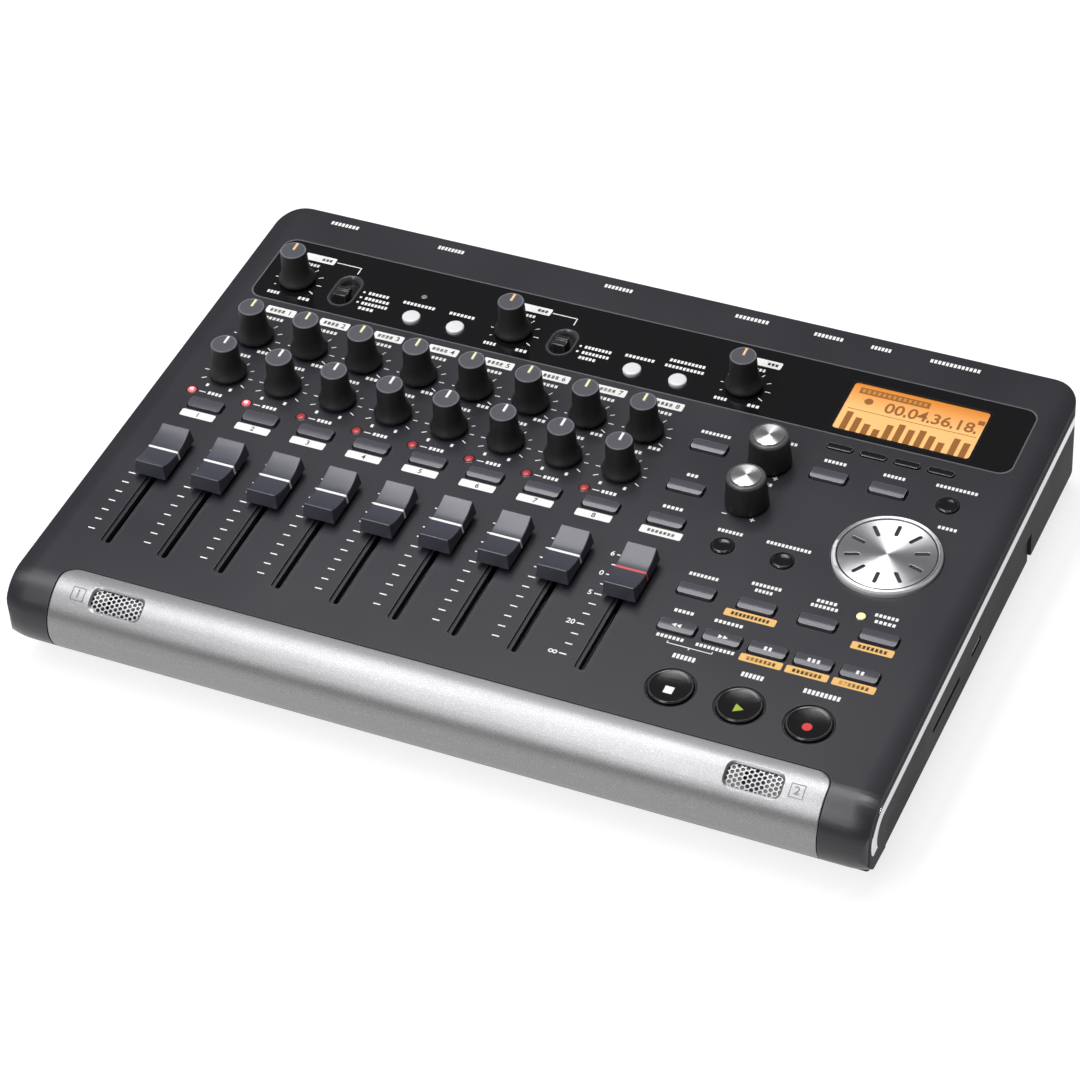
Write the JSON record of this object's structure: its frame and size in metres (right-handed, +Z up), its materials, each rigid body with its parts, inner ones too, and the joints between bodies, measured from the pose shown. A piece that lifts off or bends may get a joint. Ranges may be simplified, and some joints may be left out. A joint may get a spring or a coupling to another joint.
{
  "type": "digital multitrack recorder",
  "caption": "Desktop digital multitrack recorder: sloped panel with track faders, knobs, keys, data wheel and display, silver front bar with built-in microphones, sockets along the back.",
  "frame": {"origin": "on the table under the middle of the recorder", "axes": "+X to the recorder's right, +Y to its back, +Z up"},
  "size_m": [0.29, 0.208, 0.051],
  "materials": {
    "case_plastic": "fine-grained satin charcoal",
    "silver_paint": "metallic silver paint",
    "bright_strip": "bright satin metal foil",
    "cover_plastic": "fine-grained matte black",
    "foot_rubber": "matte black",
    "screw_steel": "black zinc",
    "overlay_gloss": "polished black",
    "display_glass": "amber backlit",
    "board_green": "solder mask",
    "pot_steel": "plated sheet",
    "lamp_red": "clear red lens",
    "grille_steel": "perforated sheet",
    "capsule_metal": "bare can",
    "socket_plastic": "black moulding",
    "socket_metal": "plated sheet",
    "cap_plastic": "satin dark grey",
    "knob_soft": "satin black",
    "wheel_metal": "spun silver",
    "switch_plastic": "satin black",
    "key_pale": "off-white",
    "key_gloss": "polished black",
    "key_grey": "glossy dark grey"
  },
  "bodies": {
    "case": {"top_case": "case_plastic", "front_bar": "silver_paint", "side_strips": "bright_strip", "bottom_cover": "cover_plastic", "rubber_feet": "foot_rubber", "case_screws": "screw_steel", "control_overlay": "overlay_gloss", "display_module": "display_glass", "panel_board": "board_green", "main_board": "board_green", "slide_pots": "pot_steel", "rotary_pots": "pot_steel", "indicator_leds": "lamp_red", "mic_grilles": "grille_steel", "mic_capsules": "capsule_metal", "input_sockets": "socket_plastic", "rear_sockets": "socket_plastic", "media_sockets": "socket_metal"},
    "fader_cap_1": {"fader_cap_1": "cap_plastic"},
    "fader_cap_2": {"fader_cap_2": "cap_plastic"},
    "fader_cap_3": {"fader_cap_3": "cap_plastic"},
    "fader_cap_4": {"fader_cap_4": "cap_plastic"},
    "fader_cap_5": {"fader_cap_5": "cap_plastic"},
    "fader_cap_6": {"fader_cap_6": "cap_plastic"},
    "fader_cap_7": {"fader_cap_7": "cap_plastic"},
    "fader_cap_8": {"fader_cap_8": "cap_plastic"},
    "master_fader_cap": {"master_fader_cap": "cap_plastic"},
    "reverb_knob_1": {"reverb_knob_1": "knob_soft"},
    "reverb_knob_2": {"reverb_knob_2": "knob_soft"},
    "reverb_knob_3": {"reverb_knob_3": "knob_soft"},
    "reverb_knob_4": {"reverb_knob_4": "knob_soft"},
    "reverb_knob_5": {"reverb_knob_5": "knob_soft"},
    "reverb_knob_6": {"reverb_knob_6": "knob_soft"},
    "reverb_knob_7": {"reverb_knob_7": "knob_soft"},
    "reverb_knob_8": {"reverb_knob_8": "knob_soft"},
    "pan_knob_1": {"pan_knob_1": "knob_soft"},
    "pan_knob_2": {"pan_knob_2": "knob_soft"},
    "pan_knob_3": {"pan_knob_3": "knob_soft"},
    "pan_knob_4": {"pan_knob_4": "knob_soft"},
    "pan_knob_5": {"pan_knob_5": "knob_soft"},
    "pan_knob_6": {"pan_knob_6": "knob_soft"},
    "pan_knob_7": {"pan_knob_7": "knob_soft"},
    "pan_knob_8": {"pan_knob_8": "knob_soft"},
    "trim_knob_a": {"trim_knob_a": "knob_soft"},
    "trim_knob_b": {"trim_knob_b": "knob_soft"},
    "phones_knob": {"phones_knob": "knob_soft"},
    "eq_high_knob": {"eq_high_knob": "knob_soft"},
    "eq_low_knob": {"eq_low_knob": "knob_soft"},
    "data_wheel": {"data_wheel": "wheel_metal"},
    "input_switch_a": {"input_switch_a": "switch_plastic"},
    "input_switch_b": {"input_switch_b": "switch_plastic"},
    "arm_keys": {"arm_keys": "key_grey"},
    "channel_keys": {"channel_keys": "key_grey"},
    "menu_keys": {"menu_keys": "key_grey"},
    "locate_keys": {"locate_keys": "key_grey"},
    "source_keys": {"source_keys": "key_pale"},
    "stop_key": {"stop_key": "key_gloss"},
    "play_key": {"play_key": "key_gloss"},
    "record_key": {"record_key": "key_gloss"},
    "power_key": {"power_key": "switch_plastic"}
  },
  "joints": [
    {"name": "fader_1_slide", "type": "slide", "parent": "case", "child": "fader_cap_1", "axis": [0, 0.9997, 0.0262], "range_m": [-0.0364, 0.0094]},
    {"name": "fader_2_slide", "type": "slide", "parent": "case", "child": "fader_cap_2", "axis": [0, 0.9997, 0.0262], "range_m": [-0.0364, 0.0094]},
    {"name": "fader_3_slide", "type": "slide", "parent": "case", "child": "fader_cap_3", "axis": [0, 0.9997, 0.0262], "range_m": [-0.0364, 0.0094]},
    {"name": "fader_4_slide", "type": "slide", "parent": "case", "child": "fader_cap_4", "axis": [0, 0.9997, 0.0262], "range_m": [-0.0364, 0.0094]},
    {"name": "fader_5_slide", "type": "slide", "parent": "case", "child": "fader_cap_5", "axis": [0, 0.9997, 0.0262], "range_m": [-0.0364, 0.0094]},
    {"name": "fader_6_slide", "type": "slide", "parent": "case", "child": "fader_cap_6", "axis": [0, 0.9997, 0.0262], "range_m": [-0.0364, 0.0094]},
    {"name": "fader_7_slide", "type": "slide", "parent": "case", "child": "fader_cap_7", "axis": [0, 0.9997, 0.0262], "range_m": [-0.0364, 0.0094]},
    {"name": "fader_8_slide", "type": "slide", "parent": "case", "child": "fader_cap_8", "axis": [0, 0.9997, 0.0262], "range_m": [-0.0364, 0.0094]},
    {"name": "master_fader_slide", "type": "slide", "parent": "case", "child": "master_fader_cap", "axis": [0, 0.9997, 0.0262], "range_m": [-0.0364, 0.0094]},
    {"name": "reverb_knob_1_turn", "type": "hinge", "parent": "case", "child": "reverb_knob_1", "pos_m": [-0.1224, 0.03199, 0.03634], "axis": [0, -0.0262, 0.9997], "range_deg": [-140, 140]},
    {"name": "reverb_knob_2_turn", "type": "hinge", "parent": "case", "child": "reverb_knob_2", "pos_m": [-0.1022, 0.03199, 0.03634], "axis": [0, -0.0262, 0.9997], "range_deg": [-140, 140]},
    {"name": "reverb_knob_3_turn", "type": "hinge", "parent": "case", "child": "reverb_knob_3", "pos_m": [-0.082, 0.03199, 0.03634], "axis": [0, -0.0262, 0.9997], "range_deg": [-140, 140]},
    {"name": "reverb_knob_4_turn", "type": "hinge", "parent": "case", "child": "reverb_knob_4", "pos_m": [-0.0618, 0.03199, 0.03634], "axis": [0, -0.0262, 0.9997], "range_deg": [-140, 140]},
    {"name": "reverb_knob_5_turn", "type": "hinge", "parent": "case", "child": "reverb_knob_5", "pos_m": [-0.0416, 0.03199, 0.03634], "axis": [0, -0.0262, 0.9997], "range_deg": [-140, 140]},
    {"name": "reverb_knob_6_turn", "type": "hinge", "parent": "case", "child": "reverb_knob_6", "pos_m": [-0.0214, 0.03199, 0.03634], "axis": [0, -0.0262, 0.9997], "range_deg": [-140, 140]},
    {"name": "reverb_knob_7_turn", "type": "hinge", "parent": "case", "child": "reverb_knob_7", "pos_m": [-0.0012, 0.03199, 0.03634], "axis": [0, -0.0262, 0.9997], "range_deg": [-140, 140]},
    {"name": "reverb_knob_8_turn", "type": "hinge", "parent": "case", "child": "reverb_knob_8", "pos_m": [0.019, 0.03199, 0.03634], "axis": [0, -0.0262, 0.9997], "range_deg": [-140, 140]},
    {"name": "pan_knob_1_turn", "type": "hinge", "parent": "case", "child": "pan_knob_1", "pos_m": [-0.1224, 0.012, 0.03581], "axis": [0, -0.0262, 0.9997], "range_deg": [-140, 140]},
    {"name": "pan_knob_2_turn", "type": "hinge", "parent": "case", "child": "pan_knob_2", "pos_m": [-0.1022, 0.012, 0.03581], "axis": [0, -0.0262, 0.9997], "range_deg": [-140, 140]},
    {"name": "pan_knob_3_turn", "type": "hinge", "parent": "case", "child": "pan_knob_3", "pos_m": [-0.082, 0.012, 0.03581], "axis": [0, -0.0262, 0.9997], "range_deg": [-140, 140]},
    {"name": "pan_knob_4_turn", "type": "hinge", "parent": "case", "child": "pan_knob_4", "pos_m": [-0.0618, 0.012, 0.03581], "axis": [0, -0.0262, 0.9997], "range_deg": [-140, 140]},
    {"name": "pan_knob_5_turn", "type": "hinge", "parent": "case", "child": "pan_knob_5", "pos_m": [-0.0416, 0.012, 0.03581], "axis": [0, -0.0262, 0.9997], "range_deg": [-140, 140]},
    {"name": "pan_knob_6_turn", "type": "hinge", "parent": "case", "child": "pan_knob_6", "pos_m": [-0.0214, 0.012, 0.03581], "axis": [0, -0.0262, 0.9997], "range_deg": [-140, 140]},
    {"name": "pan_knob_7_turn", "type": "hinge", "parent": "case", "child": "pan_knob_7", "pos_m": [-0.0012, 0.012, 0.03581], "axis": [0, -0.0262, 0.9997], "range_deg": [-140, 140]},
    {"name": "pan_knob_8_turn", "type": "hinge", "parent": "case", "child": "pan_knob_8", "pos_m": [0.019, 0.012, 0.03581], "axis": [0, -0.0262, 0.9997], "range_deg": [-140, 140]},
    {"name": "trim_knob_a_turn", "type": "hinge", "parent": "case", "child": "trim_knob_a", "pos_m": [-0.1224, 0.06338, 0.03716], "axis": [0, -0.0262, 0.9997], "range_deg": [-140, 140]},
    {"name": "trim_knob_b_turn", "type": "hinge", "parent": "case", "child": "trim_knob_b", "pos_m": [-0.0416, 0.06338, 0.03716], "axis": [0, -0.0262, 0.9997], "range_deg": [-140, 140]},
    {"name": "phones_knob_turn", "type": "hinge", "parent": "case", "child": "phones_knob", "pos_m": [0.041, 0.06338, 0.03716], "axis": [0, -0.0262, 0.9997], "range_deg": [-140, 140]},
    {"name": "eq_high_knob_turn", "type": "hinge", "parent": "case", "child": "eq_high_knob", "pos_m": [0.0622, 0.03199, 0.03634], "axis": [0, -0.0262, 0.9997], "range_deg": [-140, 140]},
    {"name": "eq_low_knob_turn", "type": "hinge", "parent": "case", "child": "eq_low_knob", "pos_m": [0.0622, 0.0118, 0.03581], "axis": [0, -0.0262, 0.9997], "range_deg": [-140, 140]},
    {"name": "data_wheel_spin", "type": "hinge", "parent": "case", "child": "data_wheel", "pos_m": [0.112, 0.0035, 0.03559], "axis": [0, -0.0262, 0.9997], "continuous": true},
    {"name": "input_switch_a_slide", "type": "slide", "parent": "case", "child": "input_switch_a", "axis": [0, 0.9997, 0.0262], "range_m": [0, 0.005]},
    {"name": "input_switch_b_slide", "type": "slide", "parent": "case", "child": "input_switch_b", "axis": [0, 0.9997, 0.0262], "range_m": [0, 0.003]},
    {"name": "arm_keys_press", "type": "slide", "parent": "case", "child": "arm_keys", "axis": [0, 0.0262, -0.9997], "range_m": [0, 0.0005], "stiffness_N_per_m": 900},
    {"name": "channel_keys_press", "type": "slide", "parent": "case", "child": "channel_keys", "axis": [0, 0.0262, -0.9997], "range_m": [0, 0.0005], "stiffness_N_per_m": 900},
    {"name": "menu_keys_press", "type": "slide", "parent": "case", "child": "menu_keys", "axis": [0, 0.0262, -0.9997], "range_m": [0, 0.0005], "stiffness_N_per_m": 900},
    {"name": "locate_keys_press", "type": "slide", "parent": "case", "child": "locate_keys", "axis": [0, 0.0262, -0.9997], "range_m": [0, 0.0005], "stiffness_N_per_m": 900},
    {"name": "source_keys_press", "type": "slide", "parent": "case", "child": "source_keys", "axis": [0, 0.0262, -0.9997], "range_m": [0, 0.0005], "stiffness_N_per_m": 900},
    {"name": "stop_key_press", "type": "slide", "parent": "case", "child": "stop_key", "axis": [0, 0.0262, -0.9997], "range_m": [0, 0.0005], "stiffness_N_per_m": 900},
    {"name": "play_key_press", "type": "slide", "parent": "case", "child": "play_key", "axis": [0, 0.0262, -0.9997], "range_m": [0, 0.0005], "stiffness_N_per_m": 900},
    {"name": "record_key_press", "type": "slide", "parent": "case", "child": "record_key", "axis": [0, 0.0262, -0.9997], "range_m": [0, 0.0005], "stiffness_N_per_m": 900},
    {"name": "power_key_press", "type": "slide", "parent": "case", "child": "power_key", "axis": [0, -1, 0], "range_m": [0, 0.0015], "stiffness_N_per_m": 400}
  ]
}
